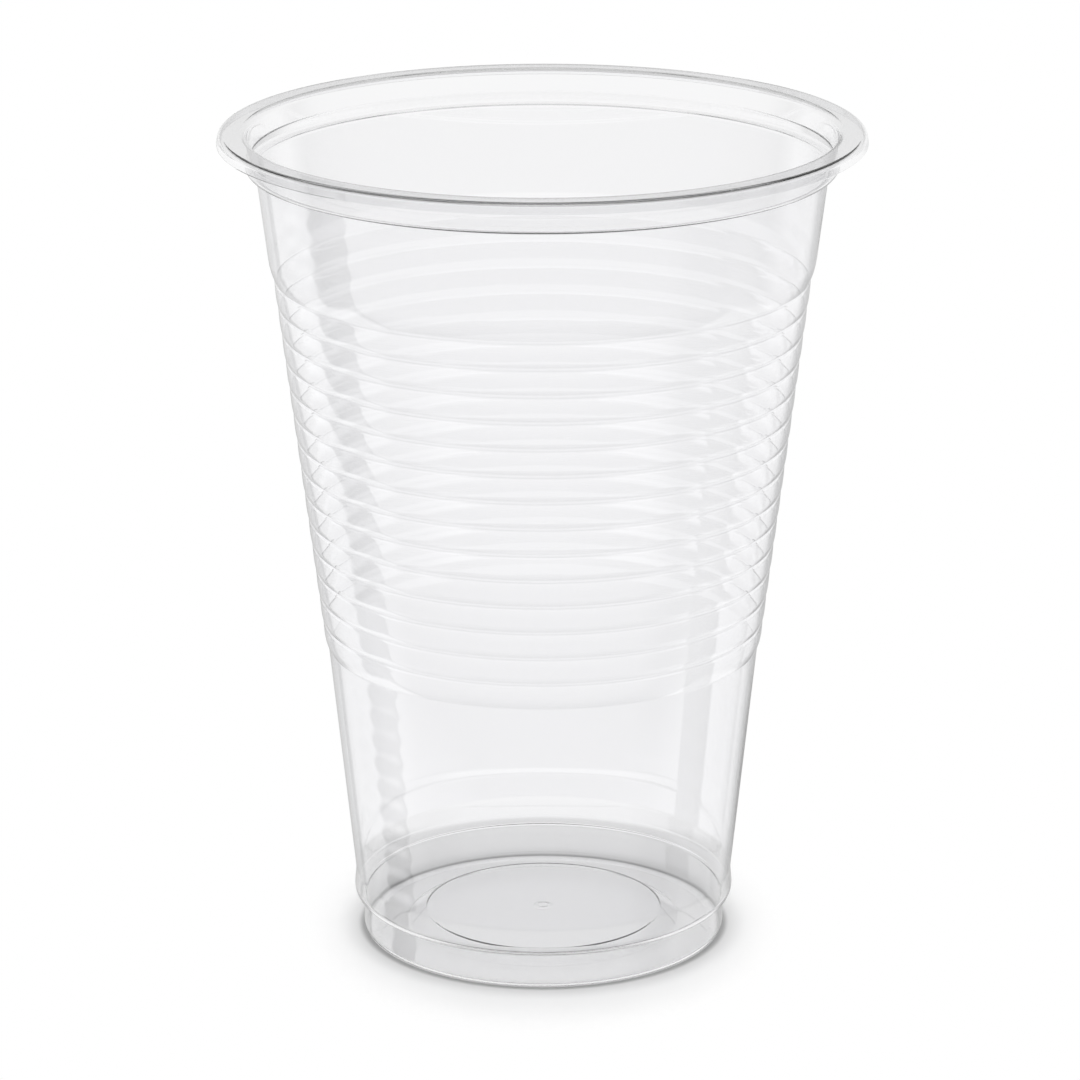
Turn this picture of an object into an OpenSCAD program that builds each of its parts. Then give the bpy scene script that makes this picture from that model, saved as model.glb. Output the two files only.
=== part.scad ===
// Clear disposable drinking cup, formed as one thin sheet.
// The wall tapers down through a plain band, a stack of stepped ribs and a plain lower wall.
// It carries a flat rim flange with a turned-down lip above a stacking collar.
// It stands on a narrow foot, under a bead, around a raised floor panel.
// Millimetres, Z up, the cup's axis on Z, standing on z = 0.

/* [Cup] */
// Height from the table to the top of the flange
cup_h = 101.5; // [90:0.5:120]
// Diameter over the lip of the flange
rim_d = 78; // [76:0.5:84]
// Diameter of the foot
foot_d = 45; // [40:0.5:48]
// Thickness of the sheet, the same all over
sheet_t = 0.3; // [0.25:0.05:0.35]

/* [Rim] */
// Diameter inside the flange, where the sheet turns down into the cup
mouth_d = 70.9; // [70:0.1:72]
// Height of the turned-down lip, from the top of the flange
lip_h = 1.35; // [1:0.05:1.8]
// How far the lip leans out over its height
lip_flare = 0.15; // [0:0.05:0.3]
// Inside radius of the bend from the mouth to the flange
mouth_bend_r = 0.5; // [0.3:0.05:0.7]
// Inside radius of the bend from the flange to the lip
lip_bend_r = 0.25; // [0.15:0.05:0.35]

/* [Collar] */
// Diameter inside the throat, the narrowest place under the flange
throat_d = 69.7; // [69.2:0.1:70]
// Depth of the throat below the top of the flange
throat_drop = 2.8; // [2.4:0.1:3]
// Diameter over the stacking collar
collar_d = 71.5; // [71.2:0.1:72.2]
// Depth of the ledge under the collar below the top of the flange
ledge_drop = 4.6; // [4.4:0.1:5.2]
// How far the ledge rises from the wall to the collar
ledge_rise = 0.25; // [0.1:0.05:0.4]

/* [Ribs] */
// Diameter over the plain band just under the ledge
band_d = 68.8; // [68.4:0.1:69]
// Loss of radius per millimetre down the plain band
band_slope = 0.113; // [0.1:0.001:0.124]
// Depth of the highest groove below the top of the flange
groove_drop = 17.85; // [15:0.05:20]
// Number of ribs between the highest and the lowest groove
rib_count = 14; // [8:1:14]
// Height of one rib
rib_pitch = 3.32; // [2.8:0.01:3.5]
// Depth of the highest groove into the plain band above it
top_groove_in = 0.62; // [0.5:0.02:0.7]
// Loss of radius from one rib to the next
rib_step = 0.4065; // [0.38:0.0005:0.46]
// How far the nearly upright face of a rib leans in on its way down
face_in = 0.26; // [0.2:0.005:0.27]
// How far a rib's top edge stands out from the groove above it
rib_lift = 0.11; // [0.08:0.01:0.12]
// Height from a rib's top edge up to the groove
lift_h = 0.28; // [0.28:0.01:0.4]
// Further depth of the lowest groove, where the plain lower wall starts
last_groove_in = 0.12; // [0:0.01:0.2]
// Slope of the rounded shoulder under a face, from the vertical
shoulder_tilt = 28; // [26:1:30]
// Inside radius in the bottom of a groove
groove_r = 0.2; // [0.14:0.02:0.22]

/* [Base] */
// Height of the foot below the bead
foot_h = 4.4; // [4:0.1:5]
// How far the foot's top is set in from its bottom
foot_in = 0.1; // [0:0.05:0.3]
// How far the bead above the foot stands out from the foot's bottom
bead_out = 1.1; // [0.9:0.05:1.3]
// How far the ledge under the bead rises on its way out
bead_rise = 0.35; // [0.2:0.05:0.5]
// Height of the neck above the bead
neck_h = 7.7; // [7.2:0.1:8.2]
// How far the neck is set in from the bead
neck_in = 0.2; // [0.1:0.05:0.4]
// Inside radius under the bead
bead_r = 0.95; // [0.7:0.05:1]
// Inside radius of the foot's bottom edge
foot_edge_r = 0.6; // [0.4:0.05:0.8]
// Width of the flat ring that the cup stands on
stand_w = 1.6; // [1.3:0.1:2]
// Diameter of the hollow that surrounds the raised panel
hollow_d = 33.6; // [32:0.1:35]
// Height of the hollow's edge above the table
hollow_h = 0.45; // [0.3:0.05:0.8]
// Diameter of the raised floor panel
panel_d = 29.2; // [27:0.1:30]
// Height of the panel's top above the table
panel_h = 2.05; // [1.8:0.05:2.6]
// Diameter of the small round mark in the panel's middle
mark_d = 1.4; // [1:0.1:2]
// Height of the mark
mark_h = 0.12; // [0.08:0.02:0.2]

/* [Hidden] */
arc_step = 15;
turn_facets = 120;
straight_angle = 0.01;
round_share = 0.98;
soft_bend_r = 0.2;
neck_bend_r = 4;
collar_bend_r = 0.25;
mark_overlap = 0.05;
half_t = sheet_t / 2;
groove_bend = groove_r + half_t;
soft_bend = soft_bend_r + half_t;
highest_z = cup_h - groove_drop;
band_end_r = band_d / 2 - half_t - band_slope * (groove_drop - ledge_drop);
shoulder_in = rib_step + rib_lift - face_in;
foot_r = foot_d / 2 - half_t;
bead_mid_r = foot_r + bead_out;
ledge_mid_z = cup_h - ledge_drop + half_t;

// Leans of the plain band, of a rib's face and of the lift above the face, from the vertical.
band_lean = atan(band_slope);
face_lean = atan(face_in / (rib_pitch - lift_h - shoulder_in / tan(shoulder_tilt)));
lift_lean = atan(rib_lift / lift_h);

// Middle radius of the sheet in groove k, counted down from the highest.
function groove_mid_r(k) =
    band_end_r - top_groove_in - k * rib_step - (k == rib_count ? last_groove_in : 0);

// Middle radius of the sheet where the shoulder above groove k meets the face.
function shoulder_mid_r(k) = k == 0 ? band_end_r : groove_mid_r(k - 1) + rib_lift - face_in;

// Bend that takes nearly all that the next bend leaves free of a straight between them.
function full_bend(straight, used, turn) = round_share * (straight - used) / tan(turn / 2);

// Groove k with the rib's top edge under it and the shoulder above it, as corners from below.
function rib_points(k) =
    let (
        z = highest_z - k * rib_pitch,
        r = groove_mid_r(k),
        depth = shoulder_mid_r(k) - r,
        used = groove_bend * tan((shoulder_tilt + (k == rib_count ? 0 : lift_lean)) / 2),
        top_bend = full_bend(norm([rib_lift, lift_h]), used, lift_lean + face_lean),
        shoulder_turn = shoulder_tilt - (k == 0 ? band_lean : face_lean),
        shoulder_bend = full_bend(depth / sin(shoulder_tilt), used, shoulder_turn)
    )
    concat(
        k == rib_count ? [] : [[r + rib_lift, z - lift_h, top_bend]],
        [[r, z, groove_bend], [r + depth, z + depth / tan(shoulder_tilt), shoulder_bend]]
    );

// Corners of the sheet's middle line with their bends, from the floor's centre to the lip.
base_points = [
    [0, panel_h - half_t, 0],
    [panel_d / 2, panel_h - half_t, soft_bend],
    [hollow_d / 2, hollow_h + half_t, soft_bend],
    [foot_r - stand_w, half_t, soft_bend],
    [foot_r, half_t, foot_edge_r + half_t],
    [foot_r - foot_in, foot_h, soft_bend],
    [bead_mid_r, foot_h + bead_rise, bead_r + half_t],
    [bead_mid_r - neck_in, neck_h, neck_bend_r]
];
rim_points = [
    [band_d / 2 - half_t, ledge_mid_z, soft_bend],
    [collar_d / 2 - half_t, ledge_mid_z + ledge_rise, collar_bend_r + half_t],
    [throat_d / 2 + half_t, cup_h - throat_drop, soft_bend],
    [mouth_d / 2 + half_t, cup_h - half_t, mouth_bend_r + half_t],
    [rim_d / 2 - half_t - lip_flare, cup_h - half_t, lip_bend_r + half_t],
    [rim_d / 2 - half_t, cup_h - lip_h, 0]
];
rib_zone = [for (k = [rib_count:-1:0]) each rib_points(k)];
middle = concat(base_points, rib_zone, rim_points);

function flat(p) = [p.x, p.y];
function unit(v) = v / norm(v);
function beside(v, s) = s * [v.y, -v.x];

// Arc at corner q between p and n, on the face that lies s to the right of the middle line.
function bend(p, q, n, s) =
    let (
        a = unit(flat(q) - flat(p)),
        b = unit(flat(n) - flat(q)),
        turn = atan2(a.x * b.y - a.y * b.x, a * b),
        side = turn > 0 ? 1 : -1,
        centre = flat(q) - q.z * tan(abs(turn) / 2) * a - beside(a, side * q.z),
        start = atan2(-side * a.x, side * a.y),
        steps = max(1, ceil(abs(turn) / arc_step))
    )
    abs(turn) < straight_angle
        ? [flat(q) + beside(a, s)]
        : [
            for (j = [0:steps])
                let (angle = start + turn * j / steps)
                centre + (q.z + side * s) * [cos(angle), sin(angle)]
        ];

// One face of the sheet: the middle line moved sideways by s, each bend a true arc.
function face(s) =
    let (
        last = len(middle) - 1,
        first_way = unit(flat(middle[1]) - flat(middle[0])),
        last_way = unit(flat(middle[last]) - flat(middle[last - 1]))
    )
    concat(
        [flat(middle[0]) + beside(first_way, s)],
        [for (i = [1:last - 1]) each bend(middle[i - 1], middle[i], middle[i + 1], s)],
        [flat(middle[last]) + beside(last_way, s)]
    );

function reversed(list) = [for (i = [len(list) - 1:-1:0]) list[i]];

// The sheet's section, turned about the axis.
module sheet() {
    rotate_extrude($fn = turn_facets)
        polygon(concat(face(half_t), reversed(face(-half_t))));
}

// Low round mark left in the middle of the floor panel.
module floor_mark() {
    translate([0, 0, panel_h - mark_overlap])
        cylinder(h = mark_h + mark_overlap, d = mark_d, $fn = turn_facets);
}

module cup() {
    color([0.92, 0.93, 0.95, 0.35])
        union() {
            sheet();
            floor_mark();
        }
}

cup();
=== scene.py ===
# %% [markdown]
# A clear disposable cup on a white table.
# The real cup is one thin sheet of clear plastic, warmed and drawn into a mould. Nothing on it is
# painted or printed: all that the eye sees is the white room, bent and mirrored by two thin walls.
# So this lesson spends its care on an exact section, on smooth normals, and on what stands around
# the cup to be mirrored.

# %% Load the frame and bake each imported part's place into its mesh
import math

import bpy
import numpy as np
from mathutils import Matrix


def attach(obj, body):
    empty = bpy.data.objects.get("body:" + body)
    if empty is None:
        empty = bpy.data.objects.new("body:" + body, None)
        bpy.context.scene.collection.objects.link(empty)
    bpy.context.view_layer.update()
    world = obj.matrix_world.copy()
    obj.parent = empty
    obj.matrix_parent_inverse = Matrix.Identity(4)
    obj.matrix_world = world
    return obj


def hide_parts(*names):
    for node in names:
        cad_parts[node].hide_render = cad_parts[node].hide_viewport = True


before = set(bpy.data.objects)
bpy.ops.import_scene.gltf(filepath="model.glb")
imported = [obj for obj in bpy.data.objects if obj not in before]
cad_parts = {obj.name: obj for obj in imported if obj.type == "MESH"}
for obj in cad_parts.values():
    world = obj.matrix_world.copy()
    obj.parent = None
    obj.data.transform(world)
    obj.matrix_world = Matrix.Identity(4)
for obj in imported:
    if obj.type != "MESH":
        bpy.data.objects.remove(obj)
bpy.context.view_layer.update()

# %% [markdown]
# The camera comes first, because every later choice is judged through it. A long lens from 0.6 m
# looks down by 17 degrees. The frame is square and 1080 pixels wide, so a focal length of 4860
# pixels is 4860 / 1080 * 36 = 162 mm on a 36 mm sensor. The picture is turned by a tenth of a
# degree, as a hand-held camera's is, and the cup stands a hair to the right of its middle.

# %% Camera
SENSOR = 36.0
PICTURE = 1080
FOCAL_PX = 4860.0
STAND_POINT = (-0.00036, -0.5698, 0.2268)
TILT, ROLL = 72.76, -0.09
CLIP = (0.01, 50.0)

lens = bpy.data.cameras.new("camera")
lens.sensor_width = SENSOR
lens.lens = FOCAL_PX / PICTURE * SENSOR
lens.clip_start, lens.clip_end = CLIP
camera = bpy.data.objects.new("camera", lens)
bpy.context.scene.collection.objects.link(camera)
tilted = Matrix.Rotation(math.radians(TILT), 4, "X")
rolled = Matrix.Rotation(math.radians(ROLL), 4, "Z")
camera.matrix_world = Matrix.Translation(STAND_POINT) @ tilted @ rolled
bpy.context.scene.camera = camera
print("lens:", round(lens.lens, 1), "mm")

# %% [markdown]
# Every size of the cup stands here once, in millimetres, with radii from the axis and heights from
# the table. The solid model has the same sizes but for a few hundredths in the ribs, and one
# thickness all over. Here the sheet is thin in the wall, where it was drawn most, and thicker at
# the floor and the lip, because that is what makes the dark lines of the rim.

# %% Sizes of the cup
HEIGHT = 101.5
RIM_R, MOUTH_R, THROAT_R, COLLAR_R, BAND_R = 39.0, 35.45, 34.85, 35.75, 34.4
LIP_H, LIP_FLARE = 1.35, 0.15
THROAT_DROP, LEDGE_DROP, LEDGE_RISE = 2.8, 4.6, 0.25
BAND_SLOPE, GROOVE_DROP = 0.113, 17.85
RIBS, PITCH, STEP = 14, 3.32, 0.4065
TOP_GROOVE, LAST_GROOVE = 0.62, 0.12
FACE_IN, BULGE = 0.26, 0.06
LIFT, LIFT_H = 0.06, 0.32
SHOULDER = math.radians(25.0)
NECK_Z, NECK_IN = 7.7, 0.2
BEAD_Z, BEAD_OUT = 4.75, 1.1
FOOT_R, FOOT_Z, FOOT_IN, STAND_W = 22.5, 4.4, 0.1, 1.6
HOLLOW_R, HOLLOW_Z = 16.8, 0.45
PANEL_R, PANEL_Z = 14.6, 2.05
MARK_R, MARK_FOOT_R, MARK_H = 0.75, 1.35, 0.07
FLOOR_HALF, WALL_HALF, RIM_HALF, LIP_HALF = 0.15, 0.10, 0.18, 0.25
print("height over rim:", round(HEIGHT / (2 * RIM_R), 2))
print("foot over rim:", round(FOOT_R / RIM_R, 2))

# %% [markdown]
# The section is a line through the middle of the sheet, from the floor's centre out to the lip. It
# is written as corners: radius, height, the radius of the bend that rounds the corner, and half the
# sheet's thickness there. Ribs repeat, so they are worked out, not typed: each one is a nearly
# upright face with a slight bulge, a rounded shoulder and a narrow groove.

# %% Corners of the ribs
GROOVE_BEND = 0.5
BEND_SHARE = 0.98


def rib_corners():
    """Four corners for each groove, from the lowest up: rib's top edge, groove, shoulder, face.

    A rib's face leans in by FACE_IN on its way down and bulges by BULGE, so its lower half leans
    by atan((FACE_IN / 2 + BULGE) / half its height) and its upper half by the same with a minus.
    A bend that may take a length s of straight on each side has the radius s / tan(turn / 2).
    """
    k = np.arange(RIBS, -1, -1.0)
    band_end = BAND_R - WALL_HALF - BAND_SLOPE * (GROOVE_DROP - LEDGE_DROP)
    groove_r = band_end - TOP_GROOVE - k * STEP - np.where(k == RIBS, LAST_GROOVE, 0)
    groove_z = HEIGHT - GROOVE_DROP - k * PITCH
    face_top = band_end - TOP_GROOVE - (k - 1) * STEP + LIFT
    shoulder_r = np.where(k == 0, band_end, face_top - FACE_IN)
    depth = shoulder_r - groove_r
    shoulder_z = groove_z + depth / math.tan(SHOULDER)
    half_face = np.where(k == 0, 1, (groove_z + PITCH - LIFT_H - shoulder_z) / 2)
    low_lean = np.arctan((FACE_IN / 2 + BULGE) / half_face)
    high_lean = np.arctan((FACE_IN / 2 - BULGE) / half_face)
    lean = np.where(k == 0, math.atan(BAND_SLOPE), low_lean)
    lift_lean = math.atan(LIFT / LIFT_H)
    used = GROOVE_BEND * np.tan((SHOULDER + np.where(k == RIBS, 0, lift_lean)) / 2)
    rest = BEND_SHARE * (depth / math.sin(SHOULDER) - used)
    free = BEND_SHARE * (math.hypot(LIFT, LIFT_H) - used)
    top_bend = free / np.tan((lift_lean + high_lean) / 2)
    shoulder_bend = rest / np.tan((SHOULDER - lean) / 2)
    face_bend = BEND_SHARE * (half_face - rest) / np.tan((low_lean - high_lean) / 2)
    half = np.full_like(k, WALL_HALF)
    top = [groove_r + LIFT, groove_z - LIFT_H, top_bend, half]
    groove = [groove_r, groove_z, np.full_like(k, GROOVE_BEND), half]
    shoulder = [shoulder_r, shoulder_z, shoulder_bend, half]
    face = [face_top - FACE_IN / 2 + BULGE, shoulder_z + half_face, face_bend, half]
    return np.array([top, groove, shoulder, face]).transpose(2, 0, 1).reshape(-1, 4)[1:-1]


ribs = rib_corners()
print("rib corners:", len(ribs), "from", ribs[0, :2].round(2), "to", ribs[-1, :2].round(2))

# %% [markdown]
# Below the ribs come the neck, the bead, the foot, the ring that the cup stands on, the hollow and
# the raised panel with its soft round mark. Above them come the ledge, the collar, the throat, the
# mouth and the lip. Soft bends are given for the middle line itself. The others are given by their
# inside radius, which is what a mould sets, so half the thickness is added to it.

# %% Corners from the floor to the lip
SOFT_BEND, MARK_BEND, NECK_BEND = 0.35, 1.5, 4.0
FOOT_BEND, BEAD_BEND, COLLAR_BEND, MOUTH_BEND, LIP_BEND = 0.6, 0.95, 0.25, 0.5, 0.2

mark_z = PANEL_Z + MARK_H - FLOOR_HALF
panel_z = PANEL_Z - FLOOR_HALF
foot_mid = FOOT_R - WALL_HALF
bead_mid = foot_mid + BEAD_OUT
ledge_z = HEIGHT - LEDGE_DROP + WALL_HALF
base = np.array([
    [0, mark_z, 0, FLOOR_HALF],
    [MARK_R, mark_z, MARK_BEND, FLOOR_HALF],
    [MARK_FOOT_R, panel_z, MARK_BEND, FLOOR_HALF],
    [PANEL_R, panel_z, SOFT_BEND, FLOOR_HALF],
    [HOLLOW_R, HOLLOW_Z + FLOOR_HALF, SOFT_BEND, FLOOR_HALF],
    [foot_mid - STAND_W, WALL_HALF, SOFT_BEND, WALL_HALF],
    [foot_mid, WALL_HALF, FOOT_BEND + WALL_HALF, WALL_HALF],
    [foot_mid - FOOT_IN, FOOT_Z, SOFT_BEND, FLOOR_HALF],
    [bead_mid, BEAD_Z, BEAD_BEND + FLOOR_HALF, FLOOR_HALF],
    [bead_mid - NECK_IN, NECK_Z, NECK_BEND, WALL_HALF],
])
rim = np.array([
    [BAND_R - WALL_HALF, ledge_z, SOFT_BEND, WALL_HALF],
    [COLLAR_R - WALL_HALF, ledge_z + LEDGE_RISE, COLLAR_BEND + WALL_HALF, WALL_HALF],
    [THROAT_R + RIM_HALF, HEIGHT - THROAT_DROP, SOFT_BEND, RIM_HALF],
    [MOUTH_R + RIM_HALF, HEIGHT - RIM_HALF, MOUTH_BEND + RIM_HALF, RIM_HALF],
    [RIM_R - LIP_HALF - LIP_FLARE, HEIGHT - LIP_HALF, LIP_BEND + LIP_HALF, LIP_HALF],
    [RIM_R - LIP_HALF, HEIGHT - LIP_H, 0, LIP_HALF],
])
corners = np.vstack([base, ribs, rim])
print("corners:", len(corners), "from", corners[0, :2], "to", corners[-1, :2])

# %% [markdown]
# A sheet has two faces, and each follows the middle line at half the thickness. Moving a line
# sideways keeps its straights and changes the radius of every bend, so each corner becomes a true
# arc about the same centre: the outside of a bend gets a larger radius and the inside a smaller
# one. Keeping the arc's own direction at each point as the surface normal makes the highlights run
# smoothly into the straights.

# %% One face of the sheet
ARC_STEPS = 4


def face_line(way_out):
    """Points (r, z) and normals of the outer face (way_out 1) or the inner face (way_out -1).

    With unit directions a into and b out of a corner and turn t between them, the bend's centre
    lies radius * tan(t / 2) back along a and one radius across it. The arc's points are centre +
    (radius + sign(t) * side) * (cos, sin) of angles that run through t in equal steps, for all
    corners at once.
    """
    point, radius, side = corners[:, :2], corners[1:-1, 2:3], way_out * corners[:, 3:]
    way = np.diff(point, axis=0)
    way /= np.linalg.norm(way, axis=1, keepdims=True)
    a, b = way[:-1], way[1:]
    turn = np.arctan2(a[:, 0] * b[:, 1] - a[:, 1] * b[:, 0], (a * b).sum(1))[:, None]
    sign = np.sign(turn)
    across = np.column_stack([a[:, 1], -a[:, 0]])
    centre = point[1:-1] - radius * np.tan(np.abs(turn) / 2) * a - sign * radius * across
    start = np.arctan2(-sign * a[:, :1], sign * a[:, 1:])
    angle = start + turn * np.linspace(0, 1, ARC_STEPS + 1)
    ray = np.stack([np.cos(angle), np.sin(angle)], axis=2)
    arc = centre[:, None] + (radius + sign * side[1:-1])[:, None] * ray
    normal = ray * (sign * way_out)[:, None]
    ends = np.column_stack([way[[0, -1], 1], -way[[0, -1], 0]])
    first, last = point[:1] + side[:1] * ends[:1], point[-1:] + side[-1:] * ends[1:]
    line = np.vstack([first, arc.reshape(-1, 2), last])
    normals = np.vstack([way_out * ends[:1], normal.reshape(-1, 2), way_out * ends[1:]])
    return line, normals


outer, outer_n = face_line(1)
inner, inner_n = face_line(-1)
print("points on each face:", len(outer), "outer face ends at the lip at", outer[-1])

# %% [markdown]
# Blender could turn this section with its Spin or Screw tools. Here the whole surface is worked out
# at once instead: every point of the section, times every direction round the axis. The section
# starts and ends on the axis, where all directions meet in one point, so each of those two ends is
# a single vertex with a fan of triangles. That leaves one closed skin, which glass needs to know
# inside from outside.

# %% Carry a section round the axis
AROUND = 136


def spread(rz):
    """Rows (r, z) times all directions a round the axis: (r cos a, r sin a, z), row by row."""
    angle = np.linspace(0, 2 * np.pi, AROUND, endpoint=False)
    xy = rz[:, None, :1] * np.column_stack([np.cos(angle), np.sin(angle)])[None]
    z = np.repeat(rz[:, None, 1:], AROUND, axis=1)
    return np.concatenate([xy, z], axis=2).reshape(-1, 3)


def turned(line, normals):
    """Vertices, normals, four-sided faces and fans of the skin that a section makes when turned.

    The first and last points of the line lie on the axis and become one vertex each. Row i of the
    rest starts at vertex i * AROUND, and a face joins neighbours there to those of the next row.
    """
    points = np.vstack([spread(line[1:-1]), np.column_stack([[0, 0], [0, 0], line[[0, -1], 1]])])
    upright = np.column_stack([[0, 0], [0, 0], np.sign(normals[[0, -1], 1])])
    directions = np.vstack([spread(normals[1:-1]), upright])
    rows = len(line) - 2
    row = np.arange(rows - 1)[:, None] * AROUND
    here = np.arange(AROUND)[None]
    there = (here + 1) % AROUND
    near, far = row + AROUND + here, row + AROUND + there
    quads = np.stack([row + here, row + there, far, near], axis=2).reshape(-1, 4)
    top = (rows - 1) * AROUND
    first, last = np.full(AROUND, len(points) - 2), np.full(AROUND, len(points) - 1)
    under_fan = np.column_stack([first, there[0], here[0]])
    upper_fan = np.column_stack([last, top + here[0], top + there[0]])
    return points, directions, quads, np.vstack([under_fan, upper_fan])


section, section_n = np.vstack([outer, inner[::-1]]), np.vstack([outer_n, inner_n[::-1]])
vertices, directions, quads, fans = turned(section, section_n)
print("section points:", len(section), "directions:", AROUND)

# %% [markdown]
# The arrays go into a mesh in metres. The normals go in with them, so the facets don't show, and
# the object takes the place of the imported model's cup.

# %% The cup's mesh
MM = 1000

mesh = bpy.data.meshes.new("clear_cup")
mesh.from_pydata((vertices / MM).tolist(), [], quads.tolist() + fans.tolist())
mesh.polygons.foreach_set("use_smooth", np.ones(len(mesh.polygons), bool))
mesh.normals_split_custom_set_from_vertices(directions.tolist())
mesh.update()
cup = bpy.data.objects.new("clear_cup", mesh)
bpy.context.scene.collection.objects.link(cup)
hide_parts("cup")
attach(cup, "root")
print("cup:", len(mesh.vertices), "vertices,", len(quads) * 2 + len(fans), "triangles")

# %% [markdown]
# Shader maths reads best as arithmetic. This small class wraps a node's output socket, so that
# a + b or 1 - mask adds the Math node that it stands for. Any other node comes from its make
# method: the node's type, its settings, and then what goes into its sockets.

# %% A class for sockets


class Wire:
    """An output socket in a node tree; arithmetic on wires adds Math nodes."""

    def __init__(self, tree, socket=None):
        self.tree, self.socket = tree, socket

    def make(self, kind, settings=None, inputs=None, output=0):
        """Adds a node, gives it its settings, then its sockets' values or links."""
        node = self.tree.nodes.new(kind)
        for name, value in (settings or {}).items():
            if name == "stops":
                for _ in range(len(value) - 2):
                    node.color_ramp.elements.new(0.5)
                for stop, (position, colour) in zip(node.color_ramp.elements, value):
                    stop.position, stop.color = position, colour
            else:
                setattr(node, name, value)
        for name, value in (inputs or {}).items():
            if isinstance(value, Wire):
                self.tree.links.new(value.socket, node.inputs[name])
            else:
                node.inputs[name].default_value = value
        return Wire(self.tree, node.outputs[output]) if node.outputs else node

    def math(self, operation, *values):
        return self.make("ShaderNodeMath", {"operation": operation}, dict(enumerate(values)))

    def __add__(self, other):
        return self.math("ADD", self, other)

    def __sub__(self, other):
        return self.math("SUBTRACT", self, other)

    def __rsub__(self, other):
        return self.math("SUBTRACT", other, self)

    def __mul__(self, other):
        return self.math("MULTIPLY", self, other)

    __radd__, __rmul__ = __add__, __mul__

    def __truediv__(self, other):
        return self.math("DIVIDE", self, other)

    def __pow__(self, other):
        return self.math("POWER", self, other)

    def __gt__(self, other):
        return self.math("GREATER_THAN", self, other)

    def __lt__(self, other):
        return self.math("LESS_THAN", self, other)


print("a wire makes Math nodes from + - * / ** > <")

# %% [markdown]
# Five things come up again and again: a soft step, a mix of two colours, the parts of a place, a
# grey made from a number, and a question about the ray that has come to a point. Each gets a
# function, so that the materials below read as sentences.

# %% Helpers for materials


def smooth(value, step):
    """0 before the first number of the step, 1 past the second, and an S-shaped rise between."""
    span = {"Value": value, "From Min": step[0], "From Max": step[1]}
    return value.make("ShaderNodeMapRange", {"interpolation_type": "SMOOTHSTEP"}, span)


def mixed(mask, a, b):
    """Colour a where the mask is 0 and colour b where it is 1."""
    return mask.make("ShaderNodeMix", {"data_type": "RGBA"}, {0: mask, 6: a, 7: b}, output=2)


def parts(place):
    """The x, y and z of a place or direction, as three wires."""
    node = place.make("ShaderNodeSeparateXYZ", None, {"Vector": place}).socket.node
    return [Wire(place.tree, socket) for socket in node.outputs]


def grey(value):
    """A colour with the same value in its three channels, from a number or a wire."""
    if not isinstance(value, Wire):
        return (value, value, value, 1)
    channels = dict.fromkeys(("Red", "Green", "Blue"), value)
    return value.make("ShaderNodeCombineColor", None, channels)


def ray_facts(t, *names):
    """Wires from the Light Path node, which tells how a ray has come to this point."""
    node = t.make("ShaderNodeLightPath").socket.node
    return [Wire(t.tree, node.outputs[name]) for name in names]


def start_nodes(owner):
    """Gives a material or world an empty node tree and returns a wire that can add nodes."""
    owner.use_nodes = True
    owner.node_tree.nodes.clear()
    return Wire(owner.node_tree)


print("grey of a half:", grey(0.5))

# %% [markdown]
# Clear plastic sheet is glass to a renderer: it lets light through, bends it by its refractive
# index of about 1.57, and mirrors a little of it at each face. Thicker plastic takes more of the
# light away, so the colour is a shade darker at the rim and at the foot. The slope round the
# floor's panel is darker still, and that is painted shade. The real sheet isn't quite even either.
# On the left, where the photograph shows a wavy dark streak, a faint ripple in the normals makes
# the edge of what is mirrored wobble.

# %% Clear plastic
INDEX = 1.57
WAVE_H, WAVE_DEPTH = 0.0031, 1.0e-5
STREAK_RIGHT, STREAK_LEFT, FRONT_ONLY = (-0.6, -0.72), (-0.92, -0.86), (0.0, -0.005)
WALL_TINT, BAND_TINT = (0.982, 0.982, 0.990, 1), (0.976, 0.976, 0.984, 1)
RIM_TINT, FOOT_TINT = (0.965, 0.965, 0.97, 1), (0.963, 0.963, 0.966, 1)
# painted shade: a much darker colour for the slope round the floor's panel
BANK_SHADE = (0.90, 0.90, 0.905, 1)
TO_BAND, TO_RIM, TO_FOOT = (0.080, 0.090), (0.0965, 0.0975), (0.0085, 0.0075)
BANK_IN, BANK_OUT, BANK_TOP = (0.0143, 0.0149), (0.0171, 0.0165), 0.003

plastic = bpy.data.materials.new("clear_plastic")
t = start_nodes(plastic)
x, y, z = parts(t.make("ShaderNodeTexCoord", output="Object"))
radius = (x * x + y * y) ** 0.5
across = x / radius
streak = smooth(across, STREAK_RIGHT) * smooth(across, STREAK_LEFT) * smooth(y, FRONT_ONLY)
wave = t.math("SINE", z * (2 * math.pi / WAVE_H)) * streak
ripple = {"Strength": 1.0, "Distance": WAVE_DEPTH, "Height": wave}
tint = mixed(smooth(z, TO_BAND), WALL_TINT, BAND_TINT)
tint = mixed(smooth(z, TO_RIM), tint, RIM_TINT)
tint = mixed(smooth(z, TO_FOOT), tint, FOOT_TINT)
# painted shade on the slope round the floor's panel, between its two radii and low down
bank_shade = smooth(radius, BANK_IN) * smooth(radius, BANK_OUT) * (z < BANK_TOP)
shader = t.make("ShaderNodeBsdfPrincipled", None, {
    "Base Color": mixed(bank_shade, tint, BANK_SHADE),
    "Normal": t.make("ShaderNodeBump", None, ripple),
    "Roughness": 0.0,
    "IOR": INDEX,
    "Transmission Weight": 1.0,
})
t.make("ShaderNodeOutputMaterial", None, {"Surface": shader})
mesh.materials.append(plastic)
print("material:", plastic.name, "on", cup.name)

# %% [markdown]
# The table is a white board with no edge in sight, so one large square is all the shape it needs.

# %% Board
BOARD_HALF = 4.0

sides = [(-BOARD_HALF, -BOARD_HALF), (BOARD_HALF, -BOARD_HALF),
         (BOARD_HALF, BOARD_HALF), (-BOARD_HALF, BOARD_HALF)]
board = bpy.data.meshes.new("floor")
board.from_pydata([(*side, 0) for side in sides], [], [(0, 1, 2, 3)])
floor = bpy.data.objects.new("floor", board)
bpy.context.scene.collection.objects.link(floor)
print("floor:", 2 * BOARD_HALF, "m wide")
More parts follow.
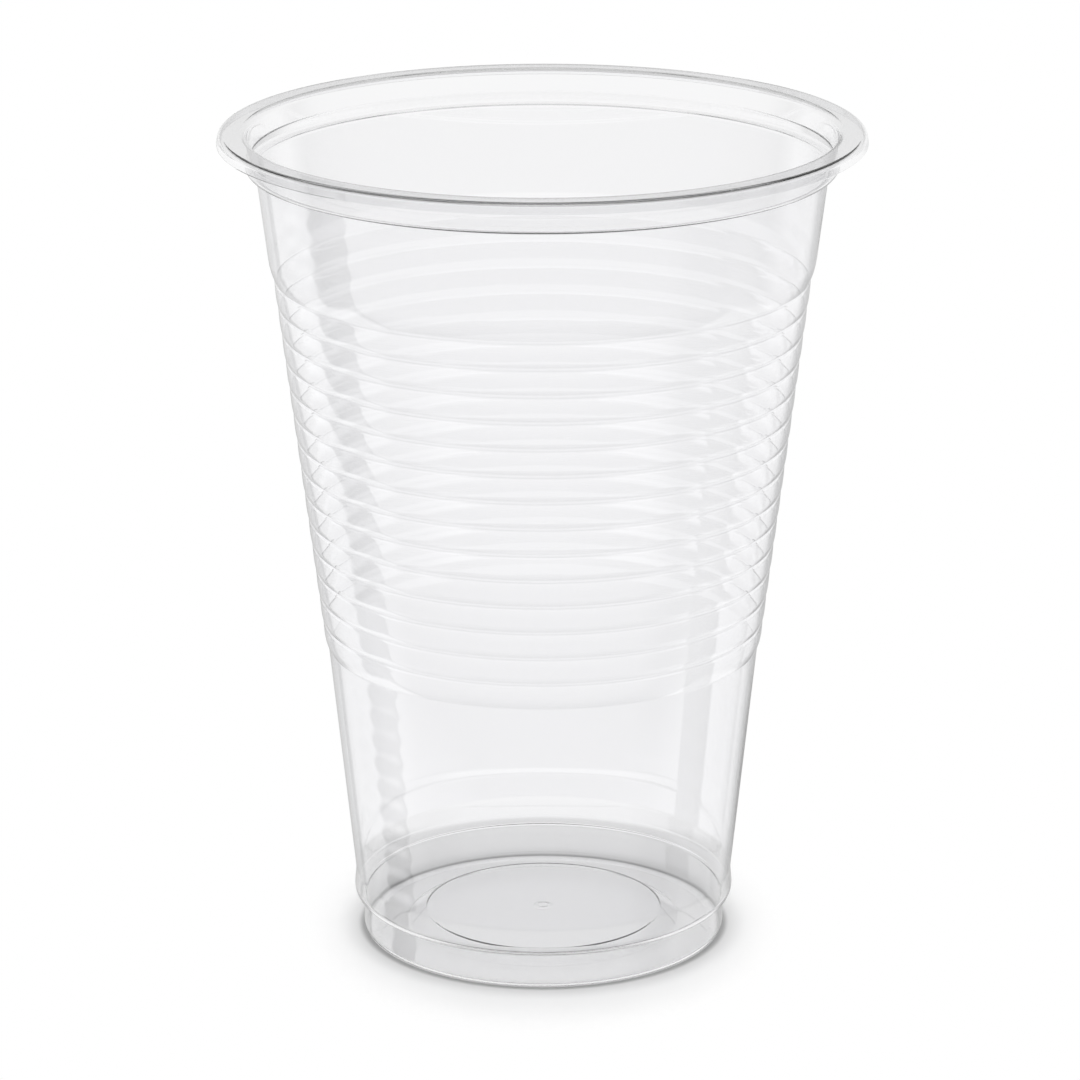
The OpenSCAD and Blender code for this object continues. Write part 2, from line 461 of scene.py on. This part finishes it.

# %% [markdown]
# Round the cup the board's white comes from its own colour under the room's light, so the soft
# shadow stays on it, and farther out it glows by itself and runs into the background with no join.
# Close to the foot its colour is darker, a painted contact shadow where the cup touches it, and
# seen through the cup it is a little greyer, which is painted shade for the shadow round the foot.
# A ray that the cup has mirrored passes through the board and sees the studio's walls instead,
# because it is the dark and bright things beside a clear cup, more than the table, that draw its
# outline.

# %% White of the board, with painted shadow round the foot
BOARD_WHITE = 0.96
SHADOW_OVAL, SHADOW_END = (1, 0.82, 0), (0.0215, 0.0305)
WIDE_SHADE, WIDE_RING, WIDE_FROM = 0.26, (0.0266, 0.0218), 0.0218
LINE_SHADE, LINE_RING, LINE_FROM = 0.3, (0.0234, 0.0225), 0.0222
CUP_SHADE, CUP_RING = 0.22, (0.038, 0.034)

white = bpy.data.materials.new("white_board")
t = start_nodes(white)
bent, glossy_depth = ray_facts(t, "Is Transmission Ray", "Glossy Depth")
where = t.make("ShaderNodeTexCoord", output="Object")
x, y, _ = parts(where)
distance = (x * x + y * y) ** 0.5
oval = t.make("ShaderNodeVectorMath", {"operation": "MULTIPLY"}, {0: where, 1: SHADOW_OVAL})
away = t.make("ShaderNodeVectorMath", {"operation": "LENGTH"}, {0: oval}, output="Value")
# painted shade: seen through the cup, the board is greyer within about 38 mm of the axis
seen_through = CUP_SHADE * bent * smooth(distance, CUP_RING)
# painted contact shadow: a wide ring and a narrow line of darker colour round the foot
shade = BOARD_WHITE - WIDE_SHADE * smooth(distance, WIDE_RING) * (distance > WIDE_FROM)
shade = shade - LINE_SHADE * smooth(distance, LINE_RING) * (distance > LINE_FROM)
shade = shade * (1 - seen_through * (distance > LINE_FROM))
painted = t.make("ShaderNodeBsdfDiffuse", None, {"Color": grey(shade)})
# painted shade too: the glow is greyer where the board is seen through the cup
glowing = t.make("ShaderNodeEmission", None, {"Color": grey(1 - seen_through), "Strength": 1.0})
lit = t.make("ShaderNodeMixShader", None, {0: smooth(away, SHADOW_END), 1: painted, 2: glowing})
open_way = t.make("ShaderNodeBsdfTransparent")
both = t.make("ShaderNodeMixShader", None, {0: glossy_depth > 0.5, 1: lit, 2: open_way})
t.make("ShaderNodeOutputMaterial", None, {"Surface": both})
board.materials.append(white)
print("material:", white.name, "on", floor.name)

# %% [markdown]
# The room is painted on the world by direction, so nothing stands in the way of another camera. It
# is written as lists of a direction and a brightness, in degrees round the cup from the back. WALLS
# is what a ray sees that goes down: mostly pale, with one dark strip on the left, which is the
# streak down the cup's wall, and greyer parts at the back and on the right. HORIZON is what a ray
# sees that is nearly level: pale at the back and dark elsewhere. Over both is an even grey.

# %% What stands round the cup
WALLS = [
    (-180, 0.95), (-99, 0.95), (-91, 0.95), (-90, 0.02), (-68, 0.02), (-67, 0.98), (-49, 1.05),
    (-40, 1.15), (-36, 1.1), (-35, 0.75), (-31, 0.7), (-29, 0.95), (-11, 0.85), (11, 0.8),
    (20, 0.7), (27, 0.7), (34, 1.0), (40, 1.15), (49, 1.0), (57, 0.93), (66, 0.86), (91, 0.82),
    (99, 0.6), (114, 0.62), (128, 0.92), (180, 0.95),
]
HORIZON = [(-180, 0.15), (-66, 0.15), (-52, 0.95), (52, 0.95), (66, 0.15), (180, 0.15)]
CEILING = 0.65

world = bpy.data.worlds.new("studio")
bpy.context.scene.world = world
t = start_nodes(world)
x, y, z = parts(t.make("ShaderNodeTexCoord", output="Generated"))
azimuth = t.math("ARCTAN2", x, y) / (2 * math.pi) + 0.5


def painted_round(table):
    """The brightness of a list (degrees, brightness) in the direction that a ray looks."""
    stops = [(degrees / 360 + 0.5, grey(value)) for degrees, value in table]
    return t.make("ShaderNodeValToRGB", {"stops": stops}, {"Fac": azimuth})


walls, horizon = painted_round(WALLS), painted_round(HORIZON)
print("strips in the room:", len(WALLS), "and", len(HORIZON))

# %% [markdown]
# The walls are darker low down. How far down counts from the slope of a ray that the plain, tapered
# wall has mirrored: it points down by 0.267 when it goes on to the back, and by 0.233 more when it
# comes straight back. A rib's shoulder or groove mirrors lower or higher parts of the room than
# the plain wall beside it does, so this change in brightness is what makes the ribs stand out.

# %% Brightness from low to high
GOING_ON, COMING_BACK = 0.267, 0.233
DARKEST = 0.1
RISES = [(0.4, (-0.45, -0.2)), (0.25, (-0.2, -0.05)), (0.45, (-0.02, 0.18))]
GROUND, STEEP, AT_BACK = 0.95, (-0.45, -0.55), (0.0, 0.1)
TO_LEVEL, TO_CEILING = (-0.2, -0.15), (0.02, 0.1)

level = (x * x + y * y) ** 0.5
usual = -GOING_ON - COMING_BACK * ((1 - y / level) * 0.5) ** 0.5
rise = z - usual
slope = DARKEST
for part, step in RISES:
    slope = slope + part * smooth(rise, step)
down = mixed(smooth(z, STEEP) * smooth(y, AT_BACK), walls * slope, grey(GROUND))
room = mixed(smooth(z, TO_LEVEL), down, horizon)
room = mixed(smooth(z, TO_CEILING), room, grey(CEILING))
print("steps in brightness:", len(RISES))

# %% [markdown]
# Only rays that the cup has mirrored see this room. A ray that has gone straight on through the cup
# sees a plain pale background, which is dark only high up, where the rim's bends send it. The
# camera itself sees white. The board is lit by a soft sky, brighter from above and from behind,
# and less of it passes through the cup from low down.

# %% World
BEYOND, BEYOND_HIGH, TO_HIGH = 0.95, 0.3, (0.1, 0.25)
SKY, SKY_ABOVE, SKY_BEHIND = 0.26, 1.17, 0.26
HELD_BACK, LOW_SKY = 0.6, (0.5, 0.1)

eye, glossy, through, diffuse_depth, glossy_depth = ray_facts(
    t, "Is Camera Ray", "Is Glossy Ray", "Is Transmission Ray", "Diffuse Depth", "Glossy Depth")
straight = 1 - (glossy_depth > 0.5)
room = mixed(straight, room, mixed(smooth(z, TO_HIGH), grey(BEYOND), grey(BEYOND_HIGH)))
sky = SKY + SKY_ABOVE * z + SKY_BEHIND * y
sky = sky * (1 - HELD_BACK * through * smooth(z, LOW_SKY))
by_cup = t.math("MAXIMUM", glossy, through) * (1 - (diffuse_depth > 0.5) * straight)
colour = mixed(eye, mixed(by_cup, sky, room), grey(1))
light = t.make("ShaderNodeBackground", None, {"Color": colour, "Strength": 1.0})
t.make("ShaderNodeOutputWorld", None, {"Surface": light})
print("world:", world.name)

# %% [markdown]
# Standard view keeps every colour as it is written. Clear walls need more bounces than the default,
# because a ray inside the rim is mirrored many times before it finds its way out.

# %% Picture settings and the end
BOUNCES, MIRRORINGS = 24, 12

scene = bpy.context.scene
scene.view_settings.view_transform = "Standard"
scene.cycles.blur_glossy = 0.0
scene.cycles.max_bounces = scene.cycles.transmission_bounces = BOUNCES
scene.cycles.glossy_bounces = MIRRORINGS
